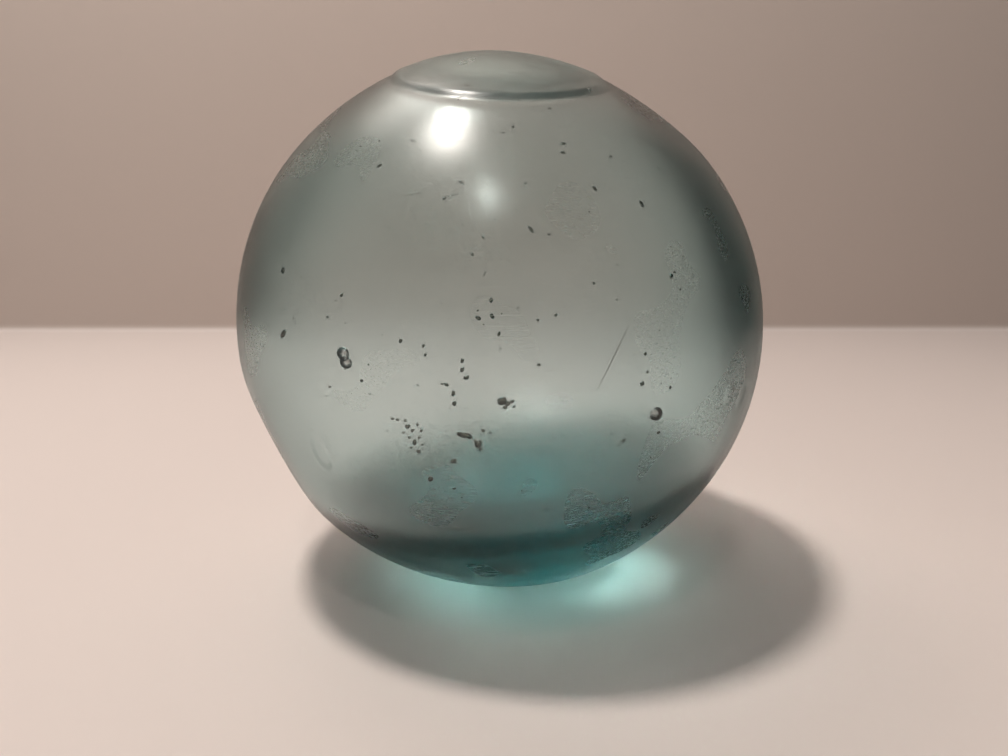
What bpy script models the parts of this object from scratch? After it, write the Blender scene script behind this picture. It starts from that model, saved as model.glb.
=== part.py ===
# A hand-blown glass fishing float: one fused piece, the ball and the seal button on top of it.
# Metres, +Z up, the front towards -Y. The origin is the middle of the flat spot underneath.

import math

import bmesh
import bpy
from mathutils import Matrix, Vector

# Driving dimensions of the ball
BALL_DIAMETER = 0.090
REST_FLAT_DIAMETER = 0.014

# Driving dimensions of the seal button
SEAL_DIAMETER = 0.032
SEAL_RISE = 0.0003
SEAL_EDGE_WIDTH = 0.0016
SEAL_LEAN = math.radians(17.5)

# Blown glass is never quite round. Swells and flats are placed by their bearing in the front view (0 is
# right, 90 is up) and by how far they turn towards the front, both in degrees. Their heights and depths
# are shares of the ball's radius, and so is the softness of a flat's rim.
SWELLS = (
    {"name": "seal dome", "bearing": 98, "turn": math.degrees(SEAL_LEAN), "height": 0.024, "half_angle": 22},
    {"name": "upper left shoulder", "bearing": 140, "turn": 19, "height": 0.0185, "half_angle": 34.5},
    {"name": "heel", "bearing": 286, "turn": 19, "height": 0.0106, "half_angle": 17},
)
FLATS = (
    {"name": "lower left", "bearing": 205, "turn": 22, "depth": 0.018, "softness": 0.038},
    {"name": "upper right", "bearing": 56.5, "turn": 19, "depth": 0.010, "softness": 0.030},
)

# How finely the ball is divided: round its axis, and along it from the seal to the far pole
SEGMENTS = 72
SEAL_FACE_RINGS = 4
SEAL_EDGE_RINGS = 6
BODY_RINGS = 36

GLASS_COLOUR = (0.42, 0.56, 0.54, 1.0)
GLASS_ROUGHNESS = 0.08
GLASS_IOR = 1.52

BALL_RADIUS = BALL_DIAMETER / 2
SEAL_HALF_ANGLE = math.asin(SEAL_DIAMETER / BALL_DIAMETER)
SEAL_EDGE_ANGLE = SEAL_EDGE_WIDTH / BALL_RADIUS
SEAL_AXIS = Vector((0, -math.sin(SEAL_LEAN), math.cos(SEAL_LEAN)))


def clear_scene():
    for thing in list(bpy.data.objects):
        bpy.data.objects.remove(thing, do_unlink=True)


def bearing_direction(form):
    bearing = math.radians(form["bearing"])
    turn = math.radians(form["turn"])
    level = math.cos(turn)
    return Vector((math.cos(bearing) * level, -math.sin(turn), math.sin(bearing) * level))


def smooth_step(share):
    share = min(max(share, 0.0), 1.0)
    return share * share * (3 - 2 * share)


def soft_minimum(first, second, softness):
    blend = min(max(0.5 + 0.5 * (second - first) / softness, 0.0), 1.0)
    return second * (1 - blend) + first * blend - softness * blend * (1 - blend)


def surface_distance(direction):
    # From the ball's middle to its surface, along a unit direction
    distance = 1.0
    for swell in SWELLS:
        angle = direction.angle(bearing_direction(swell))
        distance += swell["height"] * math.exp(-(angle / math.radians(swell["half_angle"])) ** 2)
    from_seal = direction.angle(SEAL_AXIS)
    inside_edge = (SEAL_HALF_ANGLE - from_seal) / SEAL_EDGE_ANGLE + 0.5
    distance += SEAL_RISE / BALL_RADIUS * smooth_step(inside_edge)
    for flat in FLATS:
        toward_flat = direction.dot(bearing_direction(flat))
        if toward_flat > 0.1:
            distance = soft_minimum(distance, (1 - flat["depth"]) / toward_flat, flat["softness"])
    return distance * BALL_RADIUS


def ring_angles():
    # Measured from the seal's axis, and close together on the seal's rolled edge
    edge_start = SEAL_HALF_ANGLE - SEAL_EDGE_ANGLE / 2
    edge_end = SEAL_HALF_ANGLE + SEAL_EDGE_ANGLE / 2
    angles = []
    for rings, start, end in (
        (SEAL_FACE_RINGS, 0.0, edge_start),
        (SEAL_EDGE_RINGS, edge_start, edge_end),
        (BODY_RINGS, edge_end, math.pi),
    ):
        angles += [start + (end - start) * ring / rings for ring in range(rings)]
    return angles + [math.pi]


def shape_ball(shape):
    # Moves the points of a unit sphere, whose poles lie on Z, onto the surface of the float
    angles = ring_angles()
    ring_count = len(angles) - 1
    lean = Matrix.Rotation(SEAL_LEAN, 3, "X")
    for point in shape.verts:
        ring = round(point.co.angle(Vector((0, 0, 1))) / math.pi * ring_count)
        around = math.atan2(point.co.y, point.co.x)
        across = math.sin(angles[ring])
        direction = Vector((across * math.cos(around), across * math.sin(around), math.cos(angles[ring])))
        direction = (lean @ direction).normalized()
        point.co = direction * surface_distance(direction)


def grind_rest_flat(shape):
    # The cut is as deep as leaves a flat of the stated width, whose middle then moves to the origin
    lowest = min(point.co.z for point in shape.verts)
    cap_height = BALL_RADIUS - math.sqrt(BALL_RADIUS ** 2 - (REST_FLAT_DIAMETER / 2) ** 2)
    everything = shape.verts[:] + shape.edges[:] + shape.faces[:]
    cut = bmesh.ops.bisect_plane(
        shape,
        geom=everything,
        dist=BALL_RADIUS * 1e-5,
        plane_co=(0, 0, lowest + cap_height),
        plane_no=(0, 0, -1),
        clear_outer=True,
    )
    rim = [item for item in cut["geom_cut"] if isinstance(item, bmesh.types.BMEdge)]
    flat = bmesh.ops.contextual_create(shape, geom=rim)["faces"][0]
    middle = flat.calc_center_median()
    for point in shape.verts:
        point.co -= middle
    for corner in flat.verts:
        corner.co.z = 0.0
    bmesh.ops.recalc_face_normals(shape, faces=shape.faces)


def glass_material():
    material = bpy.data.materials.new("sea green glass")
    material.use_nodes = True
    shader = material.node_tree.nodes["Principled BSDF"]
    shader.inputs["Base Color"].default_value = GLASS_COLOUR
    shader.inputs["Roughness"].default_value = GLASS_ROUGHNESS
    shader.inputs["Metallic"].default_value = 0.0
    shader.inputs["IOR"].default_value = GLASS_IOR
    shader.inputs["Transmission Weight"].default_value = 1.0
    material.diffuse_color = GLASS_COLOUR
    return material


def make_float(collection):
    shape = bmesh.new()
    rings = SEAL_FACE_RINGS + SEAL_EDGE_RINGS + BODY_RINGS
    bmesh.ops.create_uvsphere(shape, u_segments=SEGMENTS, v_segments=rings, radius=1.0)
    shape_ball(shape)
    grind_rest_flat(shape)
    mesh = bpy.data.meshes.new("glass_float")
    shape.to_mesh(mesh)
    shape.free()
    mesh.shade_smooth()
    mesh.set_sharp_from_angle(angle=math.radians(30))
    mesh.materials.append(glass_material())
    ball = bpy.data.objects.new("glass_float", mesh)
    collection.objects.link(ball)
    return ball


def main():
    clear_scene()
    collection = bpy.data.collections.new("glass float")
    bpy.context.scene.collection.children.link(collection)
    make_float(collection)


main()
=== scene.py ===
# A hand-blown glass fishing float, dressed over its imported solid.
# Metres, +Z up, the front towards -Y; the origin is the middle of the flat spot underneath.
import math
import random

import bmesh
import bpy
import numpy as np
from mathutils import Matrix, Vector


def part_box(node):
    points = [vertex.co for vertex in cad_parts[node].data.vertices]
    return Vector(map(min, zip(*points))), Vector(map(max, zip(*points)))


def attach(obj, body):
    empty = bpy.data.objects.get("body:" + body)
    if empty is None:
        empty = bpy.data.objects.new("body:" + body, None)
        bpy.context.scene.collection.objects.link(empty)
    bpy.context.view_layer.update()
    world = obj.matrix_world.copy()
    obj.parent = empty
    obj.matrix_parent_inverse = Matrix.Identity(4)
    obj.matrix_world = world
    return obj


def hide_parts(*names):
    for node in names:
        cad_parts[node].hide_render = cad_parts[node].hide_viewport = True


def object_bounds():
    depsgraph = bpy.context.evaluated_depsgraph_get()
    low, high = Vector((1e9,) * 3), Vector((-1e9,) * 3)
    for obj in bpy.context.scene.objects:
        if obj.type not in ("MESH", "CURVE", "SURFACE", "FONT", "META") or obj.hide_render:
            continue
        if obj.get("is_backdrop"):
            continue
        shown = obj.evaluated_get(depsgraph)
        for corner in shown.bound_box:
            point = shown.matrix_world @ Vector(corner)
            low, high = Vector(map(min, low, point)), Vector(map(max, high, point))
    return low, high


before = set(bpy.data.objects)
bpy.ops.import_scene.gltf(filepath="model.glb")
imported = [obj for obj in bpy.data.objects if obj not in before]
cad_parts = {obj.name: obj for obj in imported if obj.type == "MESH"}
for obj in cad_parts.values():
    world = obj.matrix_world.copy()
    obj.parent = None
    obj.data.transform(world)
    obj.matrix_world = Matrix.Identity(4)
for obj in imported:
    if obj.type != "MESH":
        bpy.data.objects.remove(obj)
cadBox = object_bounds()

mm = 0.001


def say(stage):
    print("glass float:", stage)


# What a user would change. Bearings run in the front view, 0 right and 90 up; a turn is towards the front.
# Swells and flats are shares of the radius; angles are in degrees.
glassFloat = {
    "radius": 45 * mm,
    "swells": (
        {"bearing": 98, "turn": 17.5, "height": 0.024, "halfAngle": 22},
        {"bearing": 140, "turn": 19, "height": 0.0185, "halfAngle": 34.5},
        {"bearing": 286, "turn": 19, "height": 0.0106, "halfAngle": 17},
    ),
    "flats": (
        {"bearing": 205, "turn": 22, "depth": 0.018, "softness": 0.038},
        {"bearing": 56.5, "turn": 19, "depth": 0.010, "softness": 0.030},
    ),
    "seal": {"diameter": 32 * mm, "rise": 0.3 * mm, "edgeWidth": 1.6 * mm, "lean": 17.5},
    # the fine groove just outside the seal's rolled edge
    "crease": {"depth": 0.07 * mm, "width": 0.45 * mm, "outside": 0.9 * mm, "spacing": 0.35 * mm},
    # faint oval bruises on the skin, by the photo's pixel that they show at
    "bruises": (
        {"pixel": (321, 453), "slant": -66, "length": 6.0 * mm, "width": 3.6 * mm, "depth": 0.08 * mm},
        {"pixel": (741, 397), "slant": 74, "length": 4.4 * mm, "width": 3.4 * mm, "depth": 0.07 * mm},
    ),
    "bruiseForm": {"rimHeight": 0.4, "rimWidth": 0.22, "slope": 0.5, "reach": 1.9, "spacing": 0.3 * mm},
    # how finely the skin and the hollow are divided
    "skinFineness": 6,
    "hollowFineness": 5,
    # the wall between the skin and the sealed hollow, and where the glass gathered
    "wall": 2.2 * mm,
    "ripple": {"height": 0.10 * mm, "scale": 9, "waves": 9},
    "moat": {"depth": 1.1 * mm, "halfAngle": 30},
    "lumps": {
        "sealPad": {"toward": (0.0, -0.30, 0.95), "extra": 1.0 * mm, "halfAngle": 17, "edge": 10},
        "foot": {"toward": (0.11, 0.02, -1.0), "extra": 11.0 * mm, "halfAngle": 43, "edge": 32},
        "gather": {"toward": (0.05, 0.32, -0.95), "extra": 4.0 * mm, "halfAngle": 24, "edge": 16},
        "leftShoulder": {"toward": (-0.75, 0.0, 0.65), "extra": 0.8 * mm, "halfAngle": 30, "edge": 40},
        "rightSide": {"toward": (0.90, 0.10, 0.05), "extra": 1.3 * mm, "halfAngle": 42, "edge": 55},
    },
    # bubbles right under the skin, given one by one: the photo's pixel, length and width in mm, slant
    "bubbles": {
        "doubleAtLeft": (((341, 354), 1.7, 1.9, 84), ((344, 363), 1.6, 1.9, 84)),
        "ringAtRight": (((658, 415), 1.9, 2.1, 70),),
        "seedInMiddle": (
            ((502, 402), 1.3, 1.1, 20), ((507, 404), 0.9, 0.7, -30), ((512, 402), 0.6, 0.5, 0),
            ((505, 408), 0.6, 0.5, 0), ((514, 407), 0.45, 0.4, 0),
        ),
        "sliver": (((464, 436), 1.9, 0.8, -10), ((459, 434), 0.7, 0.5, 20), ((470, 438), 0.6, 0.5, 0)),
        "besideSliver": (
            ((478, 445), 1.2, 1.0, 60), ((475, 441), 0.5, 0.4, 0), ((480, 450), 0.6, 0.4, 70),
            ((483, 431), 0.6, 0.4, -40), ((490, 433), 0.5, 0.35, 0),
        ),
        "chains": (
            ((462, 361), 0.6, 0.45, 80), ((462, 370), 0.7, 0.5, 60), ((466, 378), 0.8, 0.55, 20),
            ((446, 385), 0.7, 0.45, -30), ((453, 394), 0.8, 0.5, 80), ((454, 404), 0.7, 0.55, 90),
            ((442, 384), 0.4, 0.3, 0),
        ),
        "swarm": (
            ((407, 427), 0.8, 0.6, 30), ((405, 421), 0.45, 0.4, 0), ((412, 431), 0.6, 0.45, 60),
            ((421, 431), 0.5, 0.4, 40), ((417, 425), 0.4, 0.35, 0), ((414, 443), 0.9, 0.6, 80),
            ((409, 438), 0.5, 0.4, 0), ((419, 438), 0.45, 0.35, 20), ((418, 452), 0.7, 0.6, 0),
            ((423, 468), 0.4, 0.35, 0), ((411, 448), 0.45, 0.35, 60), ((422, 445), 0.4, 0.3, 0),
            ((397, 420), 0.5, 0.35, 0), ((392, 419), 0.5, 0.35, 0), ((403, 433), 0.4, 0.3, 0),
        ),
        "aboveFoot": (
            ((453, 462), 0.9, 0.8, 0), ((430, 480), 0.9, 0.7, 60), ((454, 489), 0.5, 0.4, 0),
            ((624, 441), 0.7, 0.6, 30), ((612, 434), 0.5, 0.4, 0), ((619, 446), 0.45, 0.35, 0),
            ((583, 455), 0.7, 0.5, 0), ((595, 473), 0.6, 0.45, 0), ((612, 470), 0.6, 0.4, -30),
            ((659, 433), 0.6, 0.4, 20),
        ),
        "rightOfMiddle": (
            ((643, 384), 0.7, 0.6, 30), ((646, 354), 0.5, 0.4, 80), ((671, 388), 0.5, 0.45, 70),
            ((648, 372), 0.4, 0.35, 0), ((539, 365), 0.5, 0.4, 0), ((554, 438), 0.6, 0.3, -40),
            ((562, 436), 0.5, 0.3, -40),
        ),
        "leftOfMiddle": (
            ((282, 270), 1.0, 0.8, 90), ((282, 334), 1.6, 0.8, 60), ((293, 318), 0.4, 0.3, 0),
            ((361, 381), 0.5, 0.45, 0), ((329, 387), 0.4, 0.35, 0), ((400, 341), 0.6, 0.45, 80),
            ((423, 346), 0.5, 0.35, 60), ((425, 355), 0.5, 0.35, 60),
        ),
        "roundSeal": (
            ((453, 85), 0.5, 0.45, 80), ((467, 85), 0.7, 0.5, 40), ((463, 93), 0.5, 0.4, 60),
            ((458, 99), 0.5, 0.4, 60), ((413, 140), 0.9, 0.5, -20), ((379, 140), 0.4, 0.35, 0),
            ((379, 165), 0.8, 0.5, 40), ((357, 109), 0.5, 0.4, 0), ((550, 108), 0.5, 0.4, 0),
            ((513, 126), 0.5, 0.4, -60), ((503, 132), 0.4, 0.3, 0), ((563, 143), 0.9, 0.5, 10),
            ((563, 152), 0.8, 0.4, -10), ((611, 156), 0.5, 0.4, 0),
        ),
        "upperHalf": (
            ((461, 182), 0.9, 0.35, -40), ((444, 198), 0.5, 0.4, 80), ((491, 175), 0.4, 0.35, 0),
            ((525, 183), 0.4, 0.3, 0), ((509, 195), 0.4, 0.3, 0), ((516, 209), 0.35, 0.3, 0),
            ((495, 219), 0.35, 0.3, 0), ((531, 229), 1.1, 0.4, -50), ((549, 234), 0.4, 0.3, 0),
            ((483, 237), 0.4, 0.35, 60), ((595, 188), 0.9, 0.45, -50), ((642, 203), 1.2, 0.6, -60),
            ((659, 168), 0.6, 0.5, -50), ((672, 276), 0.8, 0.5, 60), ((675, 272), 0.5, 0.3, 0),
            ((472, 254), 0.5, 0.4, -50), ((491, 300), 0.7, 0.5, 80), ((478, 318), 0.8, 0.5, -30),
            ((492, 316), 0.8, 0.5, -60), ((499, 334), 0.7, 0.35, 70), ((538, 320), 0.4, 0.35, 0),
            ((556, 315), 0.5, 0.35, 60), ((594, 283), 0.4, 0.35, 0), ((341, 295), 0.6, 0.4, 60),
            ((327, 317), 0.4, 0.35, 0),
        ),
        "overFoot": (
            ((457, 530), 1.6, 0.8, -10), ((546, 510), 1.2, 0.7, -10), ((493, 512), 0.8, 0.5, -10),
            ((406, 492), 0.8, 0.5, 20), ((501, 550), 0.8, 0.4, -20), ((472, 556), 0.7, 0.5, 30),
            ((392, 542), 0.7, 0.4, 20), ((484, 575), 0.8, 0.5, 60), ((589, 508), 0.4, 0.35, 0),
        ),
    },
    "bubbleCover": 0.04 * mm,
    "bubbleThickness": 0.6,  # at most this share of the wall
    "bubbleCoarseBelow": 0.4 * mm,
    "bubbleFineAbove": 1.4 * mm,
    # nicks and scratches, as thin flaws: the pixel, length and width in mm, slant, cover in mm
    "scratches": {
        "hatch": (
            ((534, 447), 1.4, 0.16, 50, 0.02), ((537, 451), 1.6, 0.14, 48, 0.02),
            ((540, 453), 1.5, 0.16, 46, 0.02), ((544, 452), 1.3, 0.14, 44, 0.02),
            ((547, 455), 1.0, 0.14, 40, 0.02), ((548, 447), 1.2, 0.13, -35, 0.02),
        ),
        "singleOnes": (
            ((565, 436), 1.6, 0.13, -45, 0.02), ((613, 360), 9.0, 0.10, 64, 0.26),
            ((452, 195), 2.6, 0.12, 14, 0.04), ((412, 194), 3.0, 0.10, 8, 0.05),
            ((390, 228), 1.6, 0.12, -20, 0.03), ((516, 466), 2.0, 0.12, 80, 0.03),
        ),
    },
    # fine seeds, strewn at random and densest round one spot
    "seeds": {
        "count": 330,
        "size": (0.10, 0.27),
        "stretch": (1, 1.7),
        "heart": (520, 395),
        "spread": 42,
        "leastShare": 0.12,
        "cover": 0.04 * mm,
        "depthShare": 0.7,
        "clearance": 0.1 * mm,
    },
    # the glass itself
    "tint": (0.985, 0.99, 0.995),
    "paintedShade": (0.30, 0.31, 0.27),  # painted shade: grey that darkens the small bubbles, standing in for the dark look the light gives them
    "paintedShadeInSmall": 1.0,
    "paintedShadeInLarge": 0.2,
    "paintedShadeLargeWidth": 1.4 * mm,
    "ior": 1.50,
    "absorption": (0.05, 0.62, 0.64),
    "density": 84.0,
    # the worn skin and the clean inside
    "wornRoughness": 0.29,
    "insideRoughness": 0.03,
    "cloud": {"scale": 90.0, "detail": 1.0, "roughness": 0.07},
    "grain": {"scale": 2400.0, "detail": 0.0, "height": 0.35},
    "hairlines": {
        "turns": ((0.3, 0.2, 0.5), (1.1, -0.5, 1.9)),
        "scale": (120.0, 4200.0, 4200.0),
        "edge": (0.66, 0.80),
        "roughness": 0.08,
        "depth": 0.5,
    },
    "reliefHeight": 0.006 * mm,
}


def bearingDirection(bearing, turn):
    level = math.cos(math.radians(turn))
    bearing = math.radians(bearing)
    return np.array((math.cos(bearing) * level, -math.sin(math.radians(turn)), math.sin(bearing) * level))


def unitRows(rows):
    return rows / np.linalg.norm(rows, axis=-1, keepdims=True)


def angleFrom(directions, axis):
    return np.degrees(np.arccos(np.clip(directions @ unitRows(np.array(axis)), -1, 1)))


def smoothStep(share):
    share = np.clip(share, 0, 1)
    return share * share * (3 - 2 * share)


def softMinimum(first, second, softness):
    blend = np.clip(0.5 + 0.5 * (second - first) / softness, 0, 1)
    return second * (1 - blend) + first * blend - softness * blend * (1 - blend)


sealAxis = bearingDirection(90, glassFloat["seal"]["lean"])
sealHalfAngle = math.asin(glassFloat["seal"]["diameter"] / glassFloat["radius"] / 2)


def skinDistance(directions, sealRise=glassFloat["seal"]["rise"]):
    # From the ball's middle to its skin, as the solid has it
    radius = glassFloat["radius"]
    distance = np.ones(len(directions))
    for swell in glassFloat["swells"]:
        angle = angleFrom(directions, bearingDirection(swell["bearing"], swell["turn"]))
        distance += swell["height"] * np.exp(-(angle / swell["halfAngle"]) ** 2)
    fromEdge = sealHalfAngle - np.radians(angleFrom(directions, sealAxis))
    distance += sealRise / radius * smoothStep(fromEdge * radius / glassFloat["seal"]["edgeWidth"] + 0.5)
    for flat in glassFloat["flats"]:
        toward = directions @ bearingDirection(flat["bearing"], flat["turn"])
        cut = (1 - flat["depth"]) / np.maximum(toward, 0.1)
        distance = np.where(toward > 0.1, softMinimum(distance, cut, flat["softness"]), distance)
    return distance * radius


def ripples(directions):
    # A slow unevenness of crossing waves
    ripple = glassFloat["ripple"]
    draw = random.Random(4)
    total = np.zeros(len(directions))
    for _ in range(ripple["waves"]):
        axis = unitRows(np.array([draw.gauss(0, 1) for _ in range(3)]))
        pace = ripple["scale"] * draw.uniform(0.6, 1.6)
        total += np.sin(directions @ axis * pace + draw.uniform(0, 2 * math.pi))
    return ripple["height"] * total / math.sqrt(ripple["waves"])


def wallAt(directions):
    moat = glassFloat["moat"]
    wall = glassFloat["wall"] + ripples(directions)
    wall -= moat["depth"] * np.exp(-(angleFrom(directions, sealAxis) / moat["halfAngle"]) ** 4)
    for lump in glassFloat["lumps"].values():
        inside = lump["halfAngle"] - angleFrom(directions, lump["toward"])
        wall += lump["extra"] * smoothStep(inside / lump["edge"] + 0.5)
    return wall


def startShape(fineness):
    shape = bmesh.new()
    bmesh.ops.create_icosphere(shape, subdivisions=fineness, radius=1.0)
    return shape


def pointDirections(shape):
    return unitRows(np.array([point.co[:] for point in shape.verts]))


def findMiddle():
    # The solid's own box tells where the middle of the ball is
    low, high = (np.array(corner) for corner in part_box("glass_float"))
    shape = startShape(glassFloat["skinFineness"])
    directions = pointDirections(shape)
    shape.free()
    skin = directions * skinDistance(directions)[:, None]
    across = (low + high) / 2 - (skin.min(axis=0) + skin.max(axis=0)) / 2
    return np.array((across[0], across[1], high[2] - skin[:, 2].max()))


middle = findMiddle()
say(f"its middle is {middle[2] / mm:.2f} mm above the floor")

# The camera stands where the photo was taken from, told from the middle of the ball
cameraView = {
    "fromBall": (-0.07 * mm, -136.65 * mm, 20.34 * mm),
    "pitch": -12.2,
    "yaw": 0.245,
    "lens": 27.14,
    "sensor": 36.0,
    "nearest": 5 * mm,
    "frame": (1008, 756),
}


def makeCamera():
    data = bpy.data.cameras.new("camera")
    data.lens = cameraView["lens"]
    data.sensor_width = cameraView["sensor"]
    data.clip_start = cameraView["nearest"]
    camera = bpy.data.objects.new("camera", data)
    camera.location = Vector(middle) + Vector(cameraView["fromBall"])
    camera.rotation_euler = (math.radians(90 + cameraView["pitch"]), 0, math.radians(-cameraView["yaw"]))
    bpy.context.scene.collection.objects.link(camera)
    bpy.context.scene.camera = camera
    say("camera in place")
    return camera


camera = makeCamera()


def skinAt(pixel):
    # The direction from the ball's middle to the skin that a pixel of the photo shows
    width, height = cameraView["frame"]
    focal = cameraView["lens"] / cameraView["sensor"] * width
    ray = Vector(((pixel[0] - width / 2) / focal, (height / 2 - pixel[1]) / focal, -1)).normalized()
    ray.rotate(camera.rotation_euler)
    start = Vector(cameraView["fromBall"])
    along = start.dot(ray)
    distance = glassFloat["radius"]
    for _ in range(6):
        inside = max(along * along - start.length_squared + distance * distance, 0)
        direction = (start + ray * (-along - math.sqrt(inside))).normalized()
        distance = skinDistance(np.array([direction]))[0]
    return direction


def skinFrame(pixel, slant):
    # Axes on the skin: along the slant as the photo shows it (0 right, 90 up), across it, and outward
    outward = skinAt(pixel)
    slant = math.radians(slant)
    along = skinAt((pixel[0] + 3 * math.cos(slant), pixel[1] - 3 * math.sin(slant))) - outward
    along = (along - outward * along.dot(outward)).normalized()
    return along, outward.cross(along), outward


def creaseRelief():
    crease = glassFloat["crease"]
    radius = glassFloat["radius"]
    angle = math.degrees(sealHalfAngle + crease["outside"] / radius)
    width = math.degrees(crease["width"] / radius)

    def height(directions):
        return -crease["depth"] * np.exp(-((angleFrom(directions, sealAxis) - angle) / width) ** 2)

    def zone(directions):
        return np.abs(angleFrom(directions, sealAxis) - angle) < 4 * width

    return height, zone, crease["spacing"]


def bruiseRelief(bruise):
    form = glassFloat["bruiseForm"]
    along, across, outward = (np.array(axis) for axis in skinFrame(bruise["pixel"], bruise["slant"]))

    def ovalDistance(directions):
        # 1 on the oval's edge, and far away on the other side of the ball
        x = directions @ along * glassFloat["radius"] / (bruise["length"] / 2)
        y = directions @ across * glassFloat["radius"] / (bruise["width"] / 2)
        return np.where(directions @ outward > 0, np.hypot(x, y), 99)

    def height(directions):
        oval = ovalDistance(directions)
        rim = np.exp(-((oval - 1) / form["rimWidth"]) ** 2)
        return bruise["depth"] * (form["rimHeight"] * rim - smoothStep((1 - oval) / form["slope"]))

    def zone(directions):
        return ovalDistance(directions) < form["reach"]

    return height, zone, form["spacing"]


def refine(shape, zone, spacing):
    # Halves the long edges in a zone a few times, down to about the spacing
    longest = spacing / glassFloat["radius"] * 1.5
    for _ in range(3):
        inZone = zone(pointDirections(shape))
        shape.verts.index_update()
        long = [
            edge for edge in shape.edges
            if any(inZone[point.index] for point in edge.verts) and edge.calc_length() > longest
        ]
        if not long:
            return
        bmesh.ops.subdivide_edges(shape, edges=long, cuts=1)
        bmesh.ops.triangulate(shape, faces=[face for face in shape.faces if len(face.verts) > 3])
        for point in shape.verts:
            point.co.normalize()


def placePoints(shape, directions, distances):
    for point, place in zip(shape.verts, directions * distances[:, None] + middle):
        point.co = (place[0], place[1], max(place[2], 0.0))  # the flat spot lies on the floor


def makeSkin():
    shape = startShape(glassFloat["skinFineness"])
    reliefs = [creaseRelief()] + [bruiseRelief(bruise) for bruise in glassFloat["bruises"]]
    for height, zone, spacing in reliefs:
        refine(shape, zone, spacing)
    directions = pointDirections(shape)
    distances = skinDistance(directions) + sum(height(directions) for height, zone, spacing in reliefs)
    placePoints(shape, directions, distances)
    return shape


def makeHollow():
    shape = startShape(glassFloat["hollowFineness"])
    directions = pointDirections(shape)
    placePoints(shape, directions, skinDistance(directions, sealRise=0) - wallAt(directions))
    bmesh.ops.reverse_faces(shape, faces=shape.faces)
    return shape


def bubbleFineness(length):
    if length < glassFloat["bubbleCoarseBelow"]:
        return 1
    return 3 if length > glassFloat["bubbleFineAbove"] else 2


def addBubble(shape, paintedShades, axes, length, width, cover):
    # An ellipsoid of air, its top the cover's depth below the skin
    outward = axes[2]
    here = np.array([outward])
    thick = min(width, glassFloat["bubbleThickness"] * wallAt(here)[0])
    centre = Vector(middle) + outward * (skinDistance(here)[0] - cover - thick / 2)
    turn = Matrix(axes).transposed().to_4x4()
    place = Matrix.Translation(centre) @ turn @ Matrix.Diagonal((length / 2, width / 2, thick / 2, 1))
    made = bmesh.ops.create_icosphere(shape, subdivisions=bubbleFineness(length), radius=1.0, matrix=place)
    # Painted shade: small bubbles and flaws take the full grey, large ones a little of it
    paintedShade = glassFloat["paintedShadeInLarge" if width > glassFloat["paintedShadeLargeWidth"] else "paintedShadeInSmall"]
    paintedShades.extend([paintedShade] * len(made["verts"]))
    bmesh.ops.reverse_faces(shape, faces=list({face for point in made["verts"] for face in point.link_faces}))


def addSeeds(shape, paintedShades):
    seeds = glassFloat["seeds"]
    draw = random.Random(11)
    heart = skinAt(seeds["heart"])
    placed = 0
    while placed < seeds["count"]:
        outward = Vector([draw.gauss(0, 1) for _ in range(3)]).normalized()
        nearHeart = math.exp(-(math.degrees(outward.angle(heart)) / seeds["spread"]) ** 2)
        if draw.random() > seeds["leastShare"] + (1 - seeds["leastShare"]) * nearHeart:
            continue
        along = outward.orthogonal().normalized()
        along.rotate(Matrix.Rotation(draw.uniform(0, math.pi), 3, outward))
        size = draw.uniform(*seeds["size"]) * mm
        room = wallAt(np.array([outward]))[0] - size - seeds["clearance"]
        cover = seeds["cover"] + seeds["depthShare"] * room * draw.random() ** 2
        axes = (along, outward.cross(along), outward)
        addBubble(shape, paintedShades, axes, size * draw.uniform(*seeds["stretch"]), size, cover)
        placed += 1


def makeBubbles():
    shape = bmesh.new()
    paintedShades = []  # how much painted shade each point's bubble takes
    for group in glassFloat["bubbles"].values():
        for pixel, length, width, slant in group:
            axes = skinFrame(pixel, slant)
            addBubble(shape, paintedShades, axes, length * mm, width * mm, glassFloat["bubbleCover"])
    for group in glassFloat["scratches"].values():
        for pixel, length, width, slant, cover in group:
            addBubble(shape, paintedShades, skinFrame(pixel, slant), length * mm, width * mm, cover * mm)
    addSeeds(shape, paintedShades)
    return shape, paintedShades


class Wire:
    # A shader socket that takes part in sums
    def __init__(self, tree, socket=None):
        self.tree = tree
        self.socket = socket

    def node(self, kind, settings, sockets, output=0):
        made = self.tree.nodes.new(kind)
        for name, value in settings.items():
            setattr(made, name, value)
        for name, value in sockets.items():
            if isinstance(value, Wire):
                self.tree.links.new(value.socket, made.inputs[name])
            else:
                made.inputs[name].default_value = value
        return Wire(self.tree, made.outputs[output])

    def feed(self, socket):
        self.tree.links.new(self.socket, socket)

    def sum(self, operation, first, second):
        return self.node("ShaderNodeMath", {"operation": operation}, {0: first, 1: second})

    def __add__(self, other):
        return self.sum("ADD", self, other)

    def __sub__(self, other):
        return self.sum("SUBTRACT", self, other)

    def __mul__(self, other):
        return self.sum("MULTIPLY", self, other)

    def __radd__(self, other):
        return self.sum("ADD", other, self)

    def __rsub__(self, other):
        return self.sum("SUBTRACT", other, self)

    def __rmul__(self, other):
        return self.sum("MULTIPLY", other, self)

    def step(self, low, high):
        # 0 below low, 1 above high and smooth between
        return self.node(
            "ShaderNodeMapRange", {"interpolation_type": "SMOOTHSTEP"},
            {"Value": self, "From Min": low, "From Max": high},
        )

    def noise(self, scale, detail):
        return self.node("ShaderNodeTexNoise", {}, {"Vector": self, "Scale": scale, "Detail": detail})

    def stretched(self, turn, scale):
        return self.node("ShaderNodeMapping", {}, {"Vector": self, "Rotation": turn, "Scale": scale})

    def mix(self, first, second):
        # The first colour where this is 0 and the second where it is 1; the numbers are the colours' sockets
        return self.node("ShaderNodeMix", {"data_type": "RGBA"}, {0: self, 6: first, 7: second}, 2)


def newMaterial(name):
    material = bpy.data.materials.new(name)
    material.use_nodes = True
    nodes = material.node_tree.nodes
    return material, Wire(material.node_tree), nodes["Principled BSDF"], nodes["Material Output"]


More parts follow.
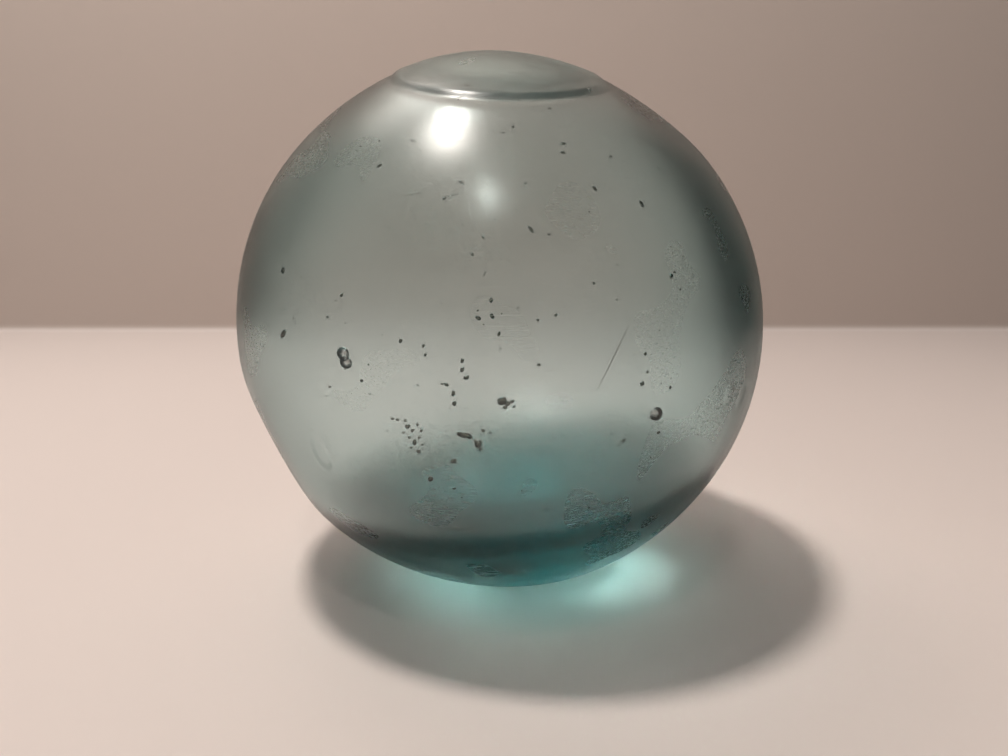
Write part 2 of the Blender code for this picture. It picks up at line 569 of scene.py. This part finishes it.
def glassMaterial():
    cloud, grain, hairlines = glassFloat["cloud"], glassFloat["grain"], glassFloat["hairlines"]
    material, start, shader, output = newMaterial("seaGlass")
    shader.distribution = "GGX"
    shader.inputs["IOR"].default_value = glassFloat["ior"]
    shader.inputs["Transmission Weight"].default_value = 1.0
    place = start.node("ShaderNodeTexCoord", {}, {}, "Object")
    # Painted shade: the bubbles' colour goes from the glass tint towards dark grey by their painted-shade
    # share
    paintedShade = start.node("ShaderNodeAttribute", {"attribute_name": "paintedShade"}, {}, "Fac")
    paintedShade.mix((*glassFloat["tint"], 1), (*glassFloat["paintedShade"], 1)).feed(shader.inputs["Base Color"])
    # Only the skin is worn: the hollow and the bubbles keep their fire polish
    worn = start.node("ShaderNodeAttribute", {"attribute_name": "worn"}, {}, "Fac")
    clouds = place.noise(cloud["scale"], cloud["detail"]) - 0.5
    grains = place.noise(grain["scale"], grain["detail"])
    scratches = 0
    for turn in hairlines["turns"]:
        lines = place.stretched(turn, hairlines["scale"]).noise(1.0, 0.0)
        scratches = scratches + lines.step(*hairlines["edge"])
    skinRough = glassFloat["wornRoughness"] + clouds * (2 * cloud["roughness"])
    skinRough = skinRough + scratches * hairlines["roughness"]
    rough = worn * skinRough + (1 - worn) * glassFloat["insideRoughness"]
    rough.feed(shader.inputs["Roughness"])
    height = worn * (grain["height"] * grains - hairlines["depth"] * scratches)
    relief = start.node(
        "ShaderNodeBump", {}, {"Height": height, "Strength": 1.0, "Distance": glassFloat["reliefHeight"]}
    )
    relief.feed(shader.inputs["Normal"])
    absorb = start.node(
        "ShaderNodeVolumeAbsorption", {},
        {"Color": (*glassFloat["absorption"], 1), "Density": glassFloat["density"]},
    )
    absorb.feed(output.inputs["Volume"])
    return material


def makeFloat():
    mesh = bpy.data.meshes.new("glassFloat")
    whole = bmesh.new()
    skin = makeSkin()
    skinPoints = len(skin.verts)
    bubbles, paintedShades = makeBubbles()
    for name, shape in (("skin", skin), ("hollow", makeHollow()), ("bubbles", bubbles)):
        say(f"{name} of {len(shape.faces)} faces")
        shape.to_mesh(mesh)
        shape.free()
        whole.from_mesh(mesh)
    whole.to_mesh(mesh)
    whole.free()
    mesh.shade_smooth()
    points = len(mesh.vertices)
    worn = mesh.attributes.new("worn", "FLOAT", "POINT")
    worn.data.foreach_set("value", [1.0] * skinPoints + [0.0] * (points - skinPoints))
    # Each point's share of painted shade, none on the skin and the hollow
    paintedShade = mesh.attributes.new("paintedShade", "FLOAT", "POINT")
    paintedShade.data.foreach_set("value", [0.0] * (points - len(paintedShades)) + paintedShades)
    mesh.materials.append(glassMaterial())
    ball = bpy.data.objects.new("glassFloat", mesh)
    bpy.context.scene.collection.objects.link(ball)
    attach(ball, "root")
    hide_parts("glass_float")


makeFloat()
say("glass in place")

# A pale floor that turns up into a backdrop, each of one colour where lit, and soft light from above. Their
# colour is painted darker out of view, a painted falloff of light, because a wide, evenly lit surround would
# shine in the edges of the glass.
studio = {
    "floorColour": (0.79, 0.705, 0.675),
    "backdropColour": (0.60, 0.515, 0.47),
    "colourChange": (0.3 * mm, 3 * mm),
    "backdropBehind": 290 * mm,
    "bend": 4 * mm,
    "bendSteps": 8,
    "width": 3.0,
    "front": 2.5,
    "height": 1.6,
    # painted falloff of light: where the floor and backdrop colour darkens towards black, and how far
    "fadeRight": (0.30, 0.50),
    "fadeLeft": (0.36, 0.75),
    "fadeFront": (0.30, 0.70),
    "paintedFalloff": 0.85,
    "roughness": 0.9,
    "shine": 0.1,
    "lampColour": (1.0, 0.935, 0.865),
    "lamps": {
        "key": {"toward": (-0.25, -0.06, 0.966), "distance": 0.70, "size": 0.088, "power": 12.5},
        "second": {"toward": (-0.077, -0.503, 0.861), "distance": 1.0, "size": 0.07, "power": 3.2},
        "soft": {"toward": (-0.40, 0.30, 0.87), "distance": 0.55, "size": 0.22, "power": 0.35},
    },
    "skyColour": (0.95, 0.97, 1.0),
    "skyStrength": 0.05,
}


def sweepMaterial():
    material, start, shader, output = newMaterial("paintedFalloffSweep")
    place = start.node("ShaderNodeTexCoord", {}, {}, "Object")
    x, y, z = (start.node("ShaderNodeSeparateXYZ", {}, {"Vector": place}, axis) for axis in "XYZ")
    # Painted falloff of light: the colour goes towards black to the sides and the front, standing in for the
    # edge of the lamps' pool of light
    fadeLeft = 1 - (-1 * x).step(*studio["fadeLeft"])
    fadeFront = 1 - (-1 * y).step(*studio["fadeFront"])
    light = (1 - x.step(*studio["fadeRight"])) * fadeLeft * fadeFront
    dark = (1 - light) * studio["paintedFalloff"]
    plain = z.step(*studio["colourChange"]).mix((*studio["floorColour"], 1), (*studio["backdropColour"], 1))
    dark.mix(plain, (0.0, 0.0, 0.0, 1)).feed(shader.inputs["Base Color"])
    shader.inputs["Roughness"].default_value = studio["roughness"]
    shader.inputs["Specular IOR Level"].default_value = studio["shine"]
    return material


def makeSweep():
    bend = studio["bend"]
    back = middle[1] + studio["backdropBehind"]
    profile = [(-studio["front"], 0.0)]
    for step in range(studio["bendSteps"] + 1):
        turn = math.radians(90 * step / studio["bendSteps"])
        profile.append((back - bend + bend * math.sin(turn), bend - bend * math.cos(turn)))
    profile.append((back, studio["height"]))
    shape = bmesh.new()
    half = studio["width"] / 2
    lines = [[shape.verts.new((side, y, z)) for side in (-half, half)] for y, z in profile]
    for first, second in zip(lines, lines[1:]):
        shape.faces.new((first[0], first[1], second[1], second[0]))
    mesh = bpy.data.meshes.new("sweep")
    shape.to_mesh(mesh)
    shape.free()
    mesh.materials.append(sweepMaterial())
    sweep = bpy.data.objects.new("sweep", mesh)
    bpy.context.scene.collection.objects.link(sweep)
    sweep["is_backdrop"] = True
    say("floor and backdrop")


def makeLights():
    for name, lamp in studio["lamps"].items():
        data = bpy.data.lights.new(name, "AREA" if name == "soft" else "POINT")
        if name == "soft":
            data.shape = "DISK"
            data.size = lamp["size"]
        else:
            data.shadow_soft_size = lamp["size"] / 2
        data.energy = lamp["power"]
        data.color = studio["lampColour"]
        light = bpy.data.objects.new(name, data)
        away = Vector(lamp["toward"]).normalized()
        light.location = Vector(middle) + away * lamp["distance"]
        light.rotation_euler = away.to_track_quat("Z", "Y").to_euler()
        light.visible_camera = False
        bpy.context.scene.collection.objects.link(light)
    world = bpy.data.worlds.new("sky")
    world.use_nodes = True
    background = world.node_tree.nodes["Background"]
    background.inputs["Color"].default_value = (*studio["skyColour"], 1)
    background.inputs["Strength"].default_value = studio["skyStrength"]
    bpy.context.scene.world = world
    say("lamps")


makeSweep()
makeLights()

scene = bpy.context.scene
scene.view_settings.view_transform = "Standard"
scene.cycles.max_bounces = 9
scene.cycles.transmission_bounces = 9
scene.cycles.sample_clamp_indirect = 0  # light gathered by the glass stays bright
scene.cycles.blur_glossy = 0

boxes = {"cad": [list(corner) for corner in cadBox], "visual": [list(corner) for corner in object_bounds()]}
say(f"boxes {boxes}")
